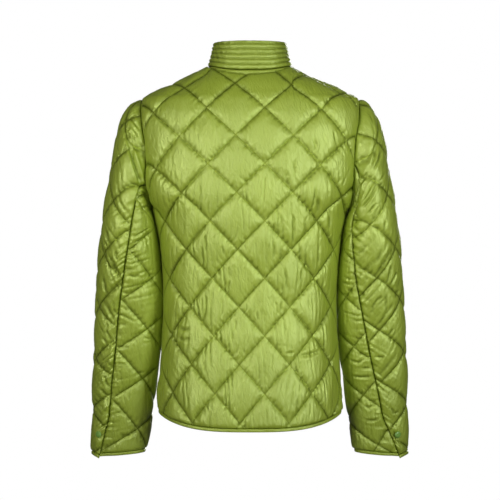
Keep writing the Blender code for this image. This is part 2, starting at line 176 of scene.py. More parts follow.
class Finish:
    """A material with one Principled shader, built from fields."""

    def __init__(self, name, **constants):
        self.material = bpy.data.materials.new(name)
        self.material.use_nodes = True
        self.tree = self.material.node_tree
        self.shader = self.tree.nodes["Principled BSDF"]
        for socket, value in constants.items():
            self.shader.inputs[socket.replace("_", " ")].default_value = value

    def node(self, kind, settings, inputs):
        """Any node: its settings first, then a value or a link for each socket named."""
        node = self.tree.nodes.new(kind)
        for name, value in settings.items():
            setattr(node, name, value)
        pairs = inputs.items() if isinstance(inputs, dict) else enumerate(inputs)
        for socket, value in pairs:
            if isinstance(value, Field):
                self.tree.links.new(value.socket, node.inputs[socket])
            else:
                node.inputs[socket].default_value = value
        return node

    def field(self, kind, settings, inputs, output=0):
        return Field(self, self.node(kind, settings, inputs).outputs[output])

    def cloth_axes(self, name):
        """The two numbers of one of a piece's own maps."""
        place = self.field("ShaderNodeUVMap", {"uv_map": name}, {})
        split = self.node("ShaderNodeSeparateXYZ", {}, {"Vector": place})
        return Field(self, split.outputs["X"]), Field(self, split.outputs["Y"])

    def vector(self, x, y):
        return self.field("ShaderNodeCombineXYZ", {}, {"X": x, "Y": y})

    def object_place(self):
        return self.field("ShaderNodeTexCoord", {}, {}, 3)

    def noise(self, place, scale, detail=2.0):
        return self.field("ShaderNodeTexNoise", {}, {
            "Vector": place, "Scale": scale, "Detail": detail})

    def mix(self, share, first, second):
        """From the first colour to the second; a colour is a field or three numbers."""
        first, second = (colour if isinstance(colour, Field) else (*colour, 1.0)
                         for colour in (first, second))
        return self.field("ShaderNodeMix", {"data_type": "RGBA"},
                          {0: share, 6: first, 7: second}, 2)

    def feed(self, socket, value):
        self.tree.links.new(value.socket, self.shader.inputs[socket])

    def bump(self, height, distance, strength):
        """Height runs from 0 to 1 and stands for distance in metres."""
        self.feed("Normal", self.field("ShaderNodeBump", {}, {
            "Strength": strength, "Distance": distance, "Height": height}))


# %% [markdown]
# ## Nylon
# The shell is thin satin nylon. Where it is lit it looks paler than its dye, because its
# smooth threads add a broad white shine. The dye itself is a strong lime with hardly any blue.
# A stitch line is painted darker, as its stitching and as shade in its groove; seams and deep folds
# get painted shade.

# %% Nylon finishes
LIME = (0.345, 0.435, 0.036)
# The nylon's colour in shade, used for painted shade and for the dark stitching.
LIME_THREAD_AND_SHADE = (0.120, 0.160, 0.004)
LIME_WORN = (0.315, 0.400, 0.030)
QUILT_SPACING = 0.067
THREAD_AND_GROOVE_EDGE = (0.0003, 0.0011)
THREAD_AND_GROOVE_SHADE = 0.42
SHADE_WIDTH = 0.004
SHADE_DARKNESS = 0.10
SEAM_WIDTH = 0.0018
SHEEN = 0.22
ROUGHNESS = 0.40
WRINKLE_HEIGHT = 0.0022


def nylon(name, stitched):
    """Satin nylon; stitched nylon reads the quilt's two lattice numbers from its own map."""
    finish = Finish(name, Specular_IOR_Level=1.0)
    across, along = finish.cloth_axes("Cloth")
    here = finish.vector(across, along)
    patchy = finish.noise(here, 9.0)
    colour = finish.mix(patchy.step(0.3, 0.7), LIME_WORN, LIME)
    if stitched:
        a, b = finish.cloth_axes("Quilt")
        near_a = a.from_whole() * QUILT_SPACING
        near_b = b.from_whole() * QUILT_SPACING
        beside = near_a.lowest(near_b)
        # Stitch lines darken for their stitching and as painted groove shade; the band beside is
        # painted shade.
        thread_and_groove_shade = 1 - beside.step(*THREAD_AND_GROOVE_EDGE)
        shade = 1 - beside.step(0.0, SHADE_WIDTH)
        stitch_thread_and_shade = thread_and_groove_shade * THREAD_AND_GROOVE_SHADE + shade * SHADE_DARKNESS
        colour = finish.mix(stitch_thread_and_shade, colour, LIME_THREAD_AND_SHADE)
    seam, fold = finish.cloth_axes("Seam")
    # Painted shade: a thin band along every seam and the deep folds are darkened towards the shaded
    # lime.
    in_seam = 1 - seam.step(0.0, SEAM_WIDTH)
    painted_hollow_shade = in_seam * 0.5 + fold * 0.5
    colour = finish.mix(painted_hollow_shade, colour, LIME_THREAD_AND_SHADE)
    finish.feed("Base Color", colour)
    # The painted shade and the stitch lines also raise the metallic share, so their dark stays
    # olive, not grey.
    finish.feed("Metallic", (painted_hollow_shade + thread_and_groove_shade * 0.4 if stitched else painted_hollow_shade) * 0.7 + SHEEN)
    fine = finish.noise(finish.vector(across * 190.0, along * 55.0), 1.0, 4.0)
    slanting = finish.vector(across * 120.0 + along * 25.0, along * 42.0)
    crinkle = abs(finish.noise(slanting, 1.0, 3.0) - 0.5)
    weave = finish.noise(finish.vector(across * 2600.0, along * 2600.0), 1.0, 1.0)
    finish.feed("Roughness", fine * 0.12 + ROUGHNESS)
    finish.bump(fine * 0.6 + crinkle.lowest(0.1) * 1.5 + weave * 0.06, WRINKLE_HEIGHT, 0.75)
    return finish.material


quilted_nylon = nylon("quilted_nylon", True)
plain_nylon = nylon("plain_nylon", False)

floor_finish = Finish("pale_floor", Roughness=0.6)
floor_patches = floor_finish.noise(floor_finish.object_place(), 3.0)
floor_tones = (0.80, 0.80, 0.80), (0.84, 0.84, 0.84)
floor_finish.feed("Base Color", floor_finish.mix(floor_patches, *floor_tones))
floor.data.materials.append(floor_finish.material)

# %% [markdown]
# ## The worn form
# The cloth follows the same sections as the frame's walls. Each table row is one section of
# the body or the sleeve, in millimetres, and a smooth curve runs through the rows.

# %% Sections of the body and the sleeves
UNDERARM_Z = -247.0
SHOULDER_Z = -50.0
NECK_HALF_WIDTH = 74.0
NECK_HALF_DEPTH = 68.0
NECK_SIDE_Z = 6.0
NECK_BACK_Z = -5.5
NECK_FRONT_Z = -62.0
ARMHOLE_DEPTH = {"back": 60.0, "front": 55.0}
ARMHOLE_POWER = 2.2
SECTION_POWER = 2.4
HEM_SIDE_Z = -596.0
HEM_BACK_Z = -619.0
HEM_FRONT_Z = -600.0
HEM_POWER = 3.4
SLEEVE_POWER = 2.2
SLEEVE_HEAD_STEPS = 6.0
SIDES = {"left": -1.0, "right": 1.0}
FACES = {"back": -1.0, "front": 1.0}


def table(columns, rows):
    """One array for each named column."""
    return dict(zip(columns.split(), np.array(rows, dtype=float).T))


BODY = table("z half_width back front roundness", [
    (-625, 161, 118, 121, 0.42),
    (-580, 160.5, 116, 119, 0.42),
    (-530, 157, 111, 116, 0.42),
    (-470, 153, 107, 113, 0.42),
    (-406, 149.6, 105, 112, 0.42),
    (-360, 151, 107, 115, 0.42),
    (-315, 155, 111, 119, 0.42),
    (-280, 160, 114, 121, 0.42),
    (-247, 167, 116, 121, 0.43),
    (-200, 176, 117, 118, 0.58),
    (-150, 180, 115, 109, 0.70),
    (-110, 184, 110, 97, 0.68),
    (-72, 188, 101, 84, 0.58),
    (-50, 189, 93, 75, 0.51),
    (-42, 174, 88, 71, 0.50),
    (-28, 142.6, 80, 64, 0.50),
    (-14, 111, 70, 58, 0.50),
    (0, 84, 60, 53, 0.50),
    (6, 74, 56, 51, 0.50),
])

ARMHOLE = table("z back front", [
    (-247, 167, 167),
    (-225, 173.5, 169),
    (-198, 177.5, 169.5),
    (-170, 179, 169.5),
    (-138, 180.5, 171.5),
    (-101, 186, 177),
    (-72, 189.5, 184),
    (-50, 189, 189),
])

SLEEVE = table("step outer_x outer_z inner_x inner_z middle_y half_depth", [
    (0, 189, -50, 167, -247, 0, 58),
    (1, 204, -56.5, 169.5, -251, 0, 62),
    (2, 216, -70, 170.5, -254.5, 0, 66),
    (3, 225.5, -90, 170, -258, 0, 70),
    (4, 235, -125, 168.5, -262.5, 0, 73),
    (5, 243, -172, 166, -269, 0, 75),
    (6, 252, -222, 162.8, -279, 1, 75),
    (7, 259, -270, 160.2, -295, 2, 73),
    (8, 264.5, -320, 156.8, -322, 4, 70),
    (9, 269, -372, 152.8, -372, 8, 62),
    (10, 272, -425, 152.6, -425, 12, 54),
    (11, 275, -490, 157, -490, 18, 47),
    (12, 277.5, -550, 165.5, -550, 24, 41),
    (13, 279.5, -612, 173, -612, 30, 37),
    (14, 280, -675, 184, -668, 35, 34),
])

SLEEVE_SEAMS = table("step left right front", [
    (0, 125, 102, 115),
    (2, 117, 112, 122),
    (4, 109, 124, 128),
    (6, 99, 135, 132),
    (8, 90, 129, 134),
    (9, 83, 118, 134),
    (10, 77, 107, 134),
    (11, 74, 98, 134),
    (12, 71, 91, 134),
    (13, 68, 83, 134),
    (14, 62, 65, 134),
])


# %% Curves through the sections
def smooth(rows, column, at, along="z"):
    """A column's value at any place along its table, on a smooth curve through the rows."""
    places, values = rows[along], rows[column]
    slopes = np.gradient(values, places)
    at = np.clip(np.asarray(at, dtype=float), places[0], places[-1])
    low = np.clip(np.searchsorted(places, at) - 1, 0, len(places) - 2)
    span = places[low + 1] - places[low]
    t = (at - places[low]) / span
    start = (1 + 2 * t) * (1 - t) ** 2 * values[low]
    end = t * t * (3 - 2 * t) * values[low + 1]
    bend = t * (1 - t) * span * ((1 - t) * slopes[low] - t * slopes[low + 1])
    return start + end + bend


def unit(vectors):
    return vectors / np.maximum(np.linalg.norm(vectors, axis=-1, keepdims=True), 1e-9)


def run_along(points, axis=0):
    """Distance from the start of a line, or of every row or column of a net."""
    steps = np.linalg.norm(np.diff(points, axis=axis), axis=-1)
    pad = [(int(k == axis), 0) for k in range(steps.ndim)]
    return np.pad(np.cumsum(steps, axis=axis), pad)


def even(line, count):
    """The same line with count steps of equal length; it may carry extra values along."""
    run = run_along(line[:, :3])
    places = np.linspace(0.0, run[-1], count + 1)
    return np.stack([np.interp(places, run, values) for values in line.T], axis=1)


def even_about(line, corner, before, after):
    """Equal steps on each side of one point, which stays a point of the line."""
    return np.concatenate([even(line[:corner + 1], before), even(line[corner:], after)[1:]])


def armhole_share(z):
    middle = (UNDERARM_Z + SHOULDER_Z) / 2
    return np.clip((z - middle) / (SHOULDER_Z - middle), -1.0, 1.0)


def armhole_y(face, z):
    height = abs(armhole_share(z))
    return ARMHOLE_DEPTH[face] * (1 - height ** ARMHOLE_POWER) ** (1 / ARMHOLE_POWER)


def edge_x(face, z):
    beside_arm = (z > UNDERARM_Z) & (z < SHOULDER_Z)
    return np.where(beside_arm, smooth(ARMHOLE, face, z), smooth(BODY, "half_width", z))


def body_point(face, share, z):
    """Outer face of the body. share is 0 on the centre line and 1 on the panel's edge."""
    z = np.asarray(z, dtype=float)
    x = share * edge_x(face, np.minimum(z, SHOULDER_Z))
    ratio = np.clip(x / edge_x(face, z), 0.0, 1.0)
    edge_y = armhole_y(face, z)
    fall = (1 - ratio ** SECTION_POWER) ** smooth(BODY, "roundness", z)
    y = FACES[face] * (edge_y + (smooth(BODY, face, z) - edge_y) * fall)
    return np.stack([x, y, z], axis=-1)


SHOULDER_HALF_WIDTH = float(smooth(BODY, "half_width", SHOULDER_Z))


def hem_z(face, share):
    middle = HEM_BACK_Z if face == "back" else HEM_FRONT_Z
    return middle + (HEM_SIDE_Z - middle) * share ** HEM_POWER


def top_z(face, share):
    x = share * SHOULDER_HALF_WIDTH
    if x >= NECK_HALF_WIDTH:
        heights = np.linspace(NECK_SIDE_Z, SHOULDER_Z, 300)
        return float(np.interp(x, smooth(BODY, "half_width", heights), heights))
    middle, power = (NECK_BACK_Z, 3.0) if face == "back" else (NECK_FRONT_Z, 2.3)
    return middle + (NECK_SIDE_Z - middle) * (x / NECK_HALF_WIDTH) ** power


# %% Directions at the seams
def armhole_outward(points, face):
    across = abs(points[:, 1] / ARMHOLE_DEPTH[face]) ** 1.2 * FACES[face]
    height = armhole_share(points[:, 2])
    up = np.sign(height) * abs(height) ** 1.2
    return unit(np.stack([0.2 + 0.2 * up, across, up], axis=-1))


def neck_outward(points):
    across = points[:, 0] / NECK_HALF_WIDTH
    along = points[:, 1] / NECK_HALF_DEPTH
    up = 0.75 - np.where(along < 0, 0.20, 0.50) * np.clip(abs(along), 0.0, 1.0)
    return unit(np.stack([across, along, up], axis=-1))


def square_to(points):
    """Directions square to a net of points."""
    return unit(np.cross(np.gradient(points, axis=1), np.gradient(points, axis=0)))


# %% [markdown]
# ## Nets of cloth
# A panel is a net of points about two millimetres apart. Besides its place, each point knows
# where it lies on the flat cloth, across and up, because quilting is drawn on flat cloth
# before it is cut. The net is made evenly spaced both ways, seam to seam.

# %% Body net
NECK_COLUMNS = 37
EDGE_COLUMNS = 93
LOWER_ROWS = 186
UPPER_ROWS = 121
FINE_STEPS = 300
LEVEL = -300.0
BINDING = 6.0
SEAM_BLEND = 8
SHOULDER_LIE = (0.42, 0.0, 0.91)
HEM_DROP = 2.0
HEM_DROP_REACH = 70.0
Net = namedtuple("Net", "points outward across up")


def body_columns(face):
    """Dense columns up one half of the body, each with its place up the flat cloth."""
    neck = NECK_HALF_WIDTH / SHOULDER_HALF_WIDTH
    inside = neck * np.sin(np.linspace(0.0, math.pi / 2, 19))
    outside = np.sin(np.linspace(math.asin(neck), math.pi / 2, 61))[1:]
    columns = []
    for share in np.concatenate([inside, outside]):
        low_z = np.linspace(hem_z(face, share) + BINDING, UNDERARM_Z, FINE_STEPS)
        high_z = np.linspace(UNDERARM_Z, top_z(face, share), FINE_STEPS)
        line = np.concatenate([even(body_point(face, share, low_z), LOWER_ROWS),
                               even(body_point(face, share, high_z), UPPER_ROWS)[1:]])
        if line[-1, 0] >= NECK_HALF_WIDTH - 0.1:
            line[-1, 1] = 0.0
        up = run_along(line[:, 1:])
        up += LEVEL - np.interp(LEVEL, line[:, 2], up)
        columns.append(np.column_stack([line, up]))
    return np.stack(columns, axis=1), len(inside) - 1


def softened(points, row, reach=14, rounds=60, pull=0.8):
    """Round off a fold that runs along one row, without moving the rows far from it."""
    near = np.exp(-((np.arange(len(points)) - row) / reach) ** 2)[:, None, None]
    for _ in range(rounds):
        middle = (points[:-2] + points[2:]) / 2
        points[1:-1] += near[1:-1] * (middle - points[1:-1]) * pull
    return points


def eased(outward, where, direction):
    """Near a seam, turn the cloth's directions over to the one that the seam shares."""
    for k in range(SEAM_BLEND):
        share = (1 - k / SEAM_BLEND) ** 2
        inner = tuple(-1 - k if place == -1 else place for place in where)
        outward[inner] = outward[inner] * (1 - share) + direction * share


def body_net(face, side):
    columns, neck = body_columns(face)
    across = run_along(columns[:, :, :2], 1)
    net = np.stack([even_about(row, neck, NECK_COLUMNS, EDGE_COLUMNS)
                    for row in np.concatenate([columns, across[:, :, None]], axis=2)])
    net[:, 1:-1, :3] = softened(net[:, 1:-1, :3], LOWER_ROWS)
    points = net[:, :, :3]
    outward = square_to(points)
    outward *= np.sign(np.sum(outward[:, 0, 1]) * FACES[face])
    outward[:, 0, 0] = 0.0
    flank, neck_edge, armhole = np.s_[:LOWER_ROWS], np.s_[:NECK_COLUMNS + 1], np.s_[LOWER_ROWS:]
    slope = np.gradient(points[flank, -1, 0], points[flank, -1, 2])
    level_lie = np.stack([np.ones_like(slope), 0 * slope, -slope], axis=-1)
    eased(outward, (flank, -1), unit(level_lie))
    eased(outward, (-1, np.s_[NECK_COLUMNS:]), unit(np.array(SHOULDER_LIE)))
    eased(outward, (-1, neck_edge), neck_outward(points[-1, neck_edge]))
    eased(outward, (armhole, -1), armhole_outward(points[armhole, -1], face))
    flip = np.array([SIDES[side], 1.0, 1.0])
    return Net(points * flip, unit(outward) * flip, net[:, :, 4] * SIDES[side], net[:, :, 3])


def mirrored_order(net):
    return Net(*(values[:, ::-1] for values in net))


def joined(*nets):
    """Nets side by side, with the column that each shares with the next kept once."""
    return Net(*(np.concatenate([nets[0][k]] + [net[k][:, 1:] for net in nets[1:]], axis=1)
                 for k in range(4)))


halves = {(face, side): body_net(face, side) for face in FACES for side in SIDES}
for net in halves.values():
    above_hem = net.points[:, :, 2] - net.points[:1, :, 2]
    net.points[:, :, 2] -= HEM_DROP * np.clip(1 - above_hem / HEM_DROP_REACH, 0.0, 1.0) ** 2
back_net = joined(mirrored_order(halves["back", "left"]), halves["back", "right"])
print("back net:", back_net.points.shape)

# %% [markdown]
# ## Creases
# Creases are soft troughs. Fine ones run side by side, and a small value-noise, the same on
# every run, makes their length, depth and spacing uneven. The large ones that catch the eye are
# placed one by one, from tables.

# %% Noise and creases
TABLE = np.random.default_rng(11).uniform(-1.0, 1.0, (256, 256))


def noise(x, y, seed):
    """Smooth unevenness from -1 to 1, about one bump for each whole step."""
    x, y = np.asarray(x) + 37.7 * seed, np.asarray(y) + 91.3 * seed
    low_x, low_y = np.floor(x).astype(int), np.floor(y).astype(int)
    fx, fy = x - low_x, y - low_y
    fx, fy = fx * fx * (3 - 2 * fx), fy * fy * (3 - 2 * fy)

    def corner(dx, dy):
        return TABLE[(low_x + dx) % 256, (low_y + dy) % 256]

    near = corner(0, 0) * (1 - fx) + corner(1, 0) * fx
    far = corner(0, 1) * (1 - fx) + corner(1, 1) * fx
    return near * (1 - fy) + far * fy


def fade(distance, reach):
    return np.exp(-distance / reach)


def bell(distance, width):
    return np.exp(-(distance / width) ** 2)


def creases(across, up, spacing, length, lean, seed, width):
    """Troughs that run up the cloth side by side, each with a faint ridge next to it. Lean
    tilts them. Every one has its own places where it starts and dies out. -1 is the deepest."""
    place = (across + lean * up) / spacing + 0.8 * noise(across / 60, up / 75, seed)
    place += 0.3 * noise(place * 0.9, up / 95, seed + 1)
    number = np.round(place)
    off = abs(place - number) * spacing
    chance = noise(number * 5.17, up / length + number * 0.37, seed + 2)
    strength = np.clip(1.7 * chance + 0.3, 0.0, 1.0)
    return strength * (0.3 * bell(off - 1.9 * width, width) - bell(off, width))


def ramp(values, low, high):
    t = np.clip((values - low) / (high - low), 0.0, 1.0)
    return t * t * (3 - 2 * t)


CREST = 0.35


def folded_in(net, folds, face="back"):
    """Creases placed one by one. A row has a depth and a width, then x and z of each place along
    the crease on the garment's back. It dies out at both ends. The front has them mirrored."""
    turned = -FACES[face]
    x, z = net.points[:, :, 0] * turned, net.points[:, :, 2]
    facing = ramp(-turned * net.outward[:, :, 1], -0.1, 0.2)
    total = np.zeros_like(x)
    for depth, width, *places in folds:
        line = np.reshape(places, (-1, 2)).astype(float)
        run = run_along(line)
        middle = line.mean(axis=0)
        reach = run[-1] / 2 + 4 * width
        near = (abs(x - middle[0]) < reach) & (abs(z - middle[1]) < reach) & (facing > 0)
        off = np.full(x[near].shape, 1e3)
        share = np.zeros_like(off)
        for k in range(len(line) - 1):
            step = line[k + 1] - line[k]
            from_x, from_z = x[near] - line[k, 0], z[near] - line[k, 1]
            t = np.clip((from_x * step[0] + from_z * step[1]) / (step @ step), 0.0, 1.0)
            gap = np.hypot(from_x - t * step[0], from_z - t * step[1])
            share = np.where(gap < off, (run[k] + t * (run[k + 1] - run[k])) / run[-1], share)
            off = np.minimum(off, gap)
        taper = 1 - abs(2 * share - 1) ** 3
        trough = CREST * bell(off - 2.0 * width, width) - bell(off, width)
        total[near] += depth * taper * trough
    return total * facing


# %% [markdown]
# ## Quilting
# Two families of slanting stitch lines cross to make diamonds. `a` and `b` count the lines of
# each family, so a stitch line is where either is a whole number. Between the lines the
# padding lifts the shell in a low cushion that is steep at the stitches and flat on top.

# %% Cushions between stitch lines
Quilt = namedtuple("Quilt", "pitch rise shift level seed shear slant", defaults=(0.0, 0.0))
BACK_PITCH = {-607: 83.7, -510: 85.7, -412: 87.9, -315: 92.2, -216: 95.4, -120: 98.4, -31: 101.8}
LOFT = 3.6
CROWN = 1.2
STEEPNESS = 4.2


def cell_chance(a, b, seed):
    """One steady random number from 0 to 1 for each diamond."""
    row = (np.floor(a).astype(int) * 7 + seed) % 256
    column = (np.floor(b).astype(int) * 13 + seed) % 256
    return (TABLE[row, column] + 1) / 2


def cushions(net, quilt):
    """Height of the padding, distance to the nearest stitch line, and the two counts. Shear
    and slant turn the grain a little off the piece's own axes."""
    across = net.across - quilt.slant * (net.up - quilt.level)
    up = net.up - quilt.shear * (quilt.shift - net.across)
    u, v = (across - quilt.shift) / quilt.pitch, (up - quilt.level) / quilt.rise
    a, b = u + v, u - v
    spacing = quilt.pitch * quilt.rise / np.hypot(quilt.pitch, quilt.rise)
    off_a = abs(a - np.round(a)) * spacing
    off_b = abs(b - np.round(b)) * spacing
    lift = (1 - fade(off_a, STEEPNESS)) * (1 - fade(off_b, STEEPNESS))
    crown = np.sin(np.pi * (a % 1)) * np.sin(np.pi * (b % 1))
    fullness = 0.85 + 0.3 * cell_chance(a, b, quilt.seed)
    return fullness * (LOFT * lift + CROWN * crown), np.minimum(off_a, off_b), a, b


def stitch_ripple(a, b, off, seed):
    """Small gathers that cross a stitch line and die out beside it."""
    near_a = abs(a - np.round(a)) < abs(b - np.round(b))
    along = np.where(near_a, b, a) * QUILT_SPACING * 1000
    wave = noise(along / 2.7, np.where(near_a, a, b) * 3.0 + along / 9.0, seed)
    return wave * fade(off, 7.5) * (1 - fade(off, 1.2))


def side_creases(net, a, b, quilt):
    """Upright creases that start from a diamond's lower left edge."""
    u_here = ((a % 1) + (b % 1) - 1) / 2
    chance = cell_chance(a, b, quilt.seed + 5)
    left = ramp(-u_here, -0.18 + 0.2 * chance, 0.28)
    strength = left * (0.35 + 0.9 * chance) + 0.2
    return strength * creases(net.across, net.up, 8.0, 36.0, 0.06, quilt.seed, 1.8)


# %% Seams and edges
Seam = namedtuple("Seam", "edge hold pucker seed reach width lean trough",
                  defaults=(9.0, 6.5, 0.0, 0.0))
TROUGH_WIDTH = 1.8


def from_edges(net):
    """How far each point is from the net's four edges, in millimetres."""
    up, across = run_along(net.points), run_along(net.points, 1)
    return {"bottom": up, "top": up[-1:] - up, "start": across, "end": across[:, -1:] - across}


def gathered(distance, along, seed, reach, width):
    """Puckers that a seam draws into the cloth beside it."""
    wave = noise(along / width, distance / 26, seed)
    wave += 0.5 * noise(along / (width * 0.45), distance / 14, seed + 1)
    return wave * fade(distance, reach) * (1 - fade(distance, 1.5))


def held_down(height, distance, reach):
    return height * (1 - fade(distance, reach))


def sewn_down(net, height, seams, seed):
    """Each seam holds the padding down and puckers it, and may lie in a trough."""
    edges = from_edges(net)
    for seam in seams:
        distance = edges[seam.edge]
        along = net.up if seam.edge in ("start", "end") else net.across
        puckers = gathered(distance, along + seam.lean * distance, seed + seam.seed,
                           seam.reach, seam.width)
        height = held_down(height, distance, seam.hold) + seam.pucker * puckers
        height -= seam.trough * fade(distance, TROUGH_WIDTH)
    return height


# %% [markdown]
# ## From net to cloth
# A piece is one closed wall: the fine outer skin, a coarser inner skin for the lining side,
# and a narrow rim. The stitch lines lie a little under the frame's outer face, and the
# cushions rise to it.

# %% Wall builder
STITCH_DEPTH = 3.6
HIGHEST = 8.0
LOWEST = -1.5
LINING_DEPTH = 6.6
# A fold this deep, in millimetres, gets the full painted shade.
DARK_AT_DEPTH = 0.9
SKIP = 3


def every(count):
    return np.array([*range(0, count - 1, SKIP), count - 1])


def rim_faces(line, inner_line, picks):
    """Faces between a fine edge and its coarse inner edge."""
    faces = []
    for k in range(len(picks) - 1):
        fine = list(line[picks[k]:picks[k + 1] + 1])
        faces.append(fine + [inner_line[k + 1], inner_line[k]])
    return faces


def cloth_mesh(name, outer, inner, outward, maps, finish):
    """One closed wall from a fine outer net and an inner net, with the cloth's own maps."""
    rows, columns = outer.shape[:2]
    pick_r, pick_c = every(rows), every(columns)
    fine = np.arange(rows * columns).reshape(rows, columns)
    coarse = fine.size + np.arange(len(pick_r) * len(pick_c)).reshape(len(pick_r), -1)

    def both_skins(of_outer, of_inner):
        picked = of_inner[np.ix_(pick_r, pick_c)]
        return np.concatenate([part.reshape(-1, part.shape[-1]) for part in (of_outer, picked)])

    def squares(grid, order):
        corners = [grid[:-1, :-1], grid[:-1, 1:], grid[1:, 1:], grid[1:, :-1]]
        return np.stack([corners[k] for k in order], axis=-1).reshape(-1, 4).tolist()

    rim = rim_faces(fine[0, ::-1], coarse[0, ::-1], columns - 1 - pick_c[::-1])
    rim += rim_faces(fine[-1], coarse[-1], pick_c)
    rim += rim_faces(fine[:, 0], coarse[:, 0], pick_r)
    rim += rim_faces(fine[::-1, -1], coarse[::-1, -1], rows - 1 - pick_r[::-1])
    faces = squares(fine, (0, 1, 2, 3)) + squares(coarse, (0, 3, 2, 1)) + rim
    middle = outer[rows // 2:, columns // 2:]
    turned = np.cross(middle[0, 1] - middle[0, 0], middle[1, 0] - middle[0, 0])
    if np.dot(turned, outward[rows // 2, columns // 2]) < 0:
        faces = [face[::-1] for face in faces]
    mesh = bpy.data.meshes.new(name)
    mesh.from_pydata((both_skins(outer, inner) / 1000).tolist(), [], faces)
    mesh.validate()
    corner = np.zeros(len(mesh.loops), dtype=np.int32)
    mesh.loops.foreach_get("vertex_index", corner)
    for map_name, values in maps.items():
        layer = mesh.uv_layers.new(name=map_name)
        flat = both_skins(values, values)[corner]
        layer.data.foreach_set("uv", flat.astype(np.float32).ravel())
    mesh.shade_smooth()
    mesh.materials.append(finish)
    piece = bpy.data.objects.new(name, mesh)
    bpy.context.scene.collection.objects.link(piece)
    print(name, "has", len(mesh.polygons), "faces")
    return piece


def nearest_edge(net):
    return np.minimum.reduce(list(from_edges(net).values()))


def seam_map(net, height):
    """Distance to the nearest seam, in metres, and how far a point lies in a fold, 0 to 1."""
    around = height
    for _ in range(3):
        wide = np.pad(around, 2, mode="edge")
        around = (wide[:-4, 2:-2] + wide[4:, 2:-2] + wide[2:-2, :-4] + wide[2:-2, 4:]) / 4
    # How far the point lies below its neighbours, which the nylon paints as shade.
    painted_hollow_shade = np.clip((around - height) / DARK_AT_DEPTH, 0.0, 1.0)
    return np.stack([nearest_edge(net) / 1000, painted_hollow_shade], axis=-1)


def sew(name, node, net, height, maps, finish, lining=LINING_DEPTH):
    """A folded strip gives the length across its fold."""
    lift = np.clip(height, LOWEST, HIGHEST) - STITCH_DEPTH
    outer, inner = net.points + net.outward * lift[:, :, None], net.points - net.outward * lining
    maps = {"Seam": seam_map(net, height), **maps}
    piece = cloth_mesh(name, outer, inner, net.outward, maps, finish)
    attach(piece, "root")
    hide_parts(*node.split())
    return piece


TURNED_ASIDE = (0.74, 0.96)
PRESSED_Z = (-560.0, -240.0)
PRESSED_SHARE = 0.8
Swelling = namedtuple("Swelling", "extra level reach")
SWELLINGS = {
    side: [Swelling(2.0, -263.0, 22.0), Swelling(0.8, -315.0, 40.0), low]
    for side, low in (("left", Swelling(1.9, -406.0, 30.0)), ("right", Swelling(1.0, -364.0, 24.0)))
}


def beside_body(net, height, side, facing):
    """Where sleeve and body nearly touch, the padding is pressed flat and fills the gap.
    Facing is 1 for cloth that looks away from the centre line there, and -1 towards it."""
    sideways = ramp(net.outward[:, :, 0] * SIDES[side] * facing, *TURNED_ASIDE)
    z = net.points[:, :, 2]
    low, high = PRESSED_Z
    pressed = sideways * ramp(z, low, low + 40) * (1 - ramp(z, high - 14, high))
    swollen = sum(part.extra * bell(z - part.level, part.reach) for part in SWELLINGS[side])
    return height * (1 - PRESSED_SHARE * pressed) + (STITCH_DEPTH + swollen) * pressed


def cloth_map(net):
    return {"Cloth": np.stack([net.across, net.up], axis=-1) / 1000}


def maps_of(net, a, b):
    return {"Quilt": np.stack([a, b], axis=-1), **cloth_map(net)}


# %% [markdown]
# ## Back and fronts
# The back is one piece. Its diamonds narrow towards the waist, and their lattice sits a
# little to the right of the centre line. The fronts carry the same quilting, with the large
# creases mirrored, and lie flat under the placket.

# %% Creases of the back
BACK_FOLDS = [
    (1.7, 2.0, -84, -201, -83, -220, -87, -247),
    (1.8, 1.8, -77, -290, -74, -306, -76, -320),
    (1.8, 1.8, -81, -306, -79, -334, -81, -348),
    (1.4, 1.8, -97, -310, -94, -326),
    (1.2, 1.8, -47, -308, -44, -323),
    (1.4, 1.8, -36, -338, -35, -365),
    (1.2, 1.8, -1, -215, 2, -230),
    (1.3, 1.8, 142, -114, 144, -127, 148, -139),
    (1.5, 2.2, 107, -125, 111, -138, 108, -151),
    (1.1, 1.8, 75, -160, 75, -175, 77, -188),
    (1.6, 3.6, 59, -181, 63, -200, 66, -214),
    (1.2, 2.0, 25, -190, 25, -214, 22, -241),
    (1.7, 1.9, 48, -250, 52, -265, 51, -281),
    (1.8, 2.0, 70, -253, 73, -265, 73, -283, 73, -305),
    (1.1, 2.4, 93, -261, 94, -278, 90, -296),
    (1.7, 2.0, 37, -289, 39, -308, 42, -328),
    (1.2, 2.4, 54, -308, 53, -326, 48, -337),
    (1.8, 2.2, 57, -346, 61, -364, 62, -382),
    (1.3, 1.8, 87, -347, 86, -367),
    (1.5, 3.4, 111, -225, 116, -242, 114, -259),
    (1.6, 4.0, 93, -322, 97, -343, 103, -354),
    (1.9, 1.9, -77, -382, -74, -399, -75, -417, -79, -437),
    (1.8, 1.9, -88, -408, -86, -426, -81, -443),
    (1.2, 1.8, -45, -398, -46, -417, -48, -427),
    (1.7, 1.8, -34, -365, -38, -389),
    (1.4, 1.8, -42, -365, -39, -381),
    (1.6, 1.8, -48, -456, -50, -468, -45, -481),
    (1.2, 1.8, -6, -404, -6, -420),
    (1.5, 1.9, -81, -492, -77, -511, -75, -526),
    (1.6, 3.2, -123, -446, -112, -450, -100, -448),
    (1.6, 3.2, -120, -464, -111, -468, -102, -464),
    (1.7, 3.4, 80, -494, 100, -492, 118, -487),
    (1.2, 2.2, 60, -488, 68, -489, 76, -487),
    (1.2, 1.8, 11, -418, 14, -436),
    (1.4, 1.8, 43, -401, 46, -416, 47, -426),
    (1.2, 1.8, 53, -401, 52, -418),
]

# %% Sew the back
def back_pitch(up):
    return np.interp(up, list(BACK_PITCH), list(BACK_PITCH.values()))


